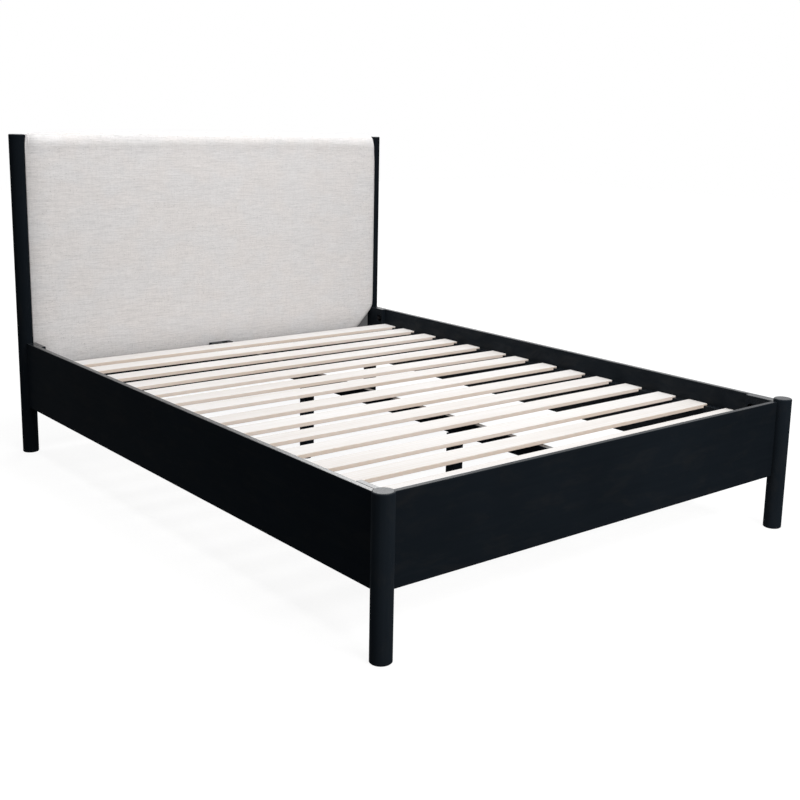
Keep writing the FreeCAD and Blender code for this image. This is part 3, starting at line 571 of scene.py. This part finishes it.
def wrap_sides(mesh, low, high):
    """The cover turns back round the panel's sides: a thin strip beside each post."""
    made = bmesh.new()
    made.from_mesh(mesh)
    front, bottom = low.y + WRAP_FRONT, low.z + WRAP_LOW
    height = high.z - WRAP_DROP - bottom
    for side in (-1, 1):
        outer = side * high.x
        inner = side * (high.x - WRAP_THICKNESS)
        corners = [(outer, front), (outer, WRAP_BACK), (inner, WRAP_BACK), (inner, front)]
        rows = []
        for step in range(WRAP_STEPS + 1):
            z = bottom + height * step / WRAP_STEPS
            rows.append([made.verts.new((x, y, z)) for x, y in corners])
        for lower, upper in zip(rows, rows[1:]):
            for index in range(4):
                after = (index + 1) % 4
                made.faces.new((lower[index], lower[after], upper[after], upper[index]))
        made.faces.new(rows[0][::-1])
        made.faces.new(rows[-1])
    bmesh.ops.recalc_face_normals(made, faces=made.faces)
    made.to_mesh(mesh)
    made.free()


def keep_clear(mesh, post):
    """Draws the cover in where it would touch a post."""
    for vertex in mesh.vertices:
        limit = post_limit(vertex.co.y, post)
        if abs(vertex.co.x) > limit:
            vertex.co.x = math.copysign(limit, vertex.co.x)


def inflate(cushion, front):
    """A short cloth simulation under pressure, with the back held and the swelling capped."""
    mesh = cushion.data
    held = cushion.vertex_groups.new(name="held")
    start = [vertex.co.copy() for vertex in mesh.vertices]
    deep = [index for index, point in enumerate(start) if point.y > front + HELD_DEPTH]
    held.add(deep, 1.0, "REPLACE")
    cloth = cushion.modifiers.new("cloth", "CLOTH")
    settings = cloth.settings
    settings.quality = 3
    settings.mass = 0.35
    settings.tension_stiffness = 20.0
    settings.compression_stiffness = 20.0
    settings.shear_stiffness = 8.0
    settings.bending_stiffness = 1.0
    settings.vertex_group_mass = "held"
    settings.use_pressure = True
    settings.uniform_pressure_force = PRESSURE
    settings.effector_weights.gravity = 0.0
    cloth.collision_settings.use_collision = False
    cloth.point_cache.frame_start = 1
    cloth.point_cache.frame_end = LAST_FRAME
    for number in range(1, LAST_FRAME + 1):
        scene.frame_set(number)
    evaluated = cushion.evaluated_get(bpy.context.evaluated_depsgraph_get())
    moved = [vertex.co.copy() for vertex in evaluated.data.vertices]
    cushion.modifiers.clear()
    moves = [after - before for before, after in zip(start, moved)]
    moves = [move * (CAP / (CAP + move.length)) for move in moves]
    beside = [[index] for index in range(len(moves))]
    for edge in mesh.edges:
        first, second = edge.vertices
        beside[first].append(second)
        beside[second].append(first)
    for _ in range(EVEN_ROUNDS):
        moves = [sum((moves[near] for near in group), Vector()) / len(group) for group in beside]
    for vertex, before, move in zip(mesh.vertices, start, moves):
        vertex.co = before + move
    scene.frame_set(1)


def build_cushion():
    """Foam under a tight woven cover, with a crowned face, a rolled top and a soft lower edge."""
    source = nodes["headboard_cushion"]
    low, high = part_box("headboard_cushion")
    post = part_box("headboard_post_right")
    cushion = bpy.data.objects.new("cushion_cover", source.data.copy())
    scene.collection.objects.link(cushion)
    cushion.matrix_world = source.matrix_world.copy()
    welded = bmesh.new()
    welded.from_mesh(cushion.data)
    bmesh.ops.remove_doubles(welded, verts=welded.verts, dist=WELD)
    welded.to_mesh(cushion.data)
    welded.free()
    remesh = cushion.modifiers.new("remesh", "REMESH")
    remesh.mode = "VOXEL"
    remesh.voxel_size = VOXEL
    mesh = baked_mesh(cushion)
    shape_cushion(mesh, low, high)
    inflate(cushion, low.y)
    even = cushion.modifiers.new("even", "SMOOTH")
    even.factor = 0.5
    even.iterations = 4
    finer = cushion.modifiers.new("finer", "SUBSURF")
    finer.levels = 1
    finer.render_levels = 1
    mesh = baked_mesh(cushion)
    keep_clear(mesh, post)
    wrap_sides(mesh, low, high)
    for polygon in mesh.polygons:
        polygon.use_smooth = True
    mesh.materials.clear()
    mesh.materials.append(cover)
    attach(cushion, ROOT)
    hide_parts("headboard_cushion")


build_cushion()

scene.view_settings.view_transform = "Standard"
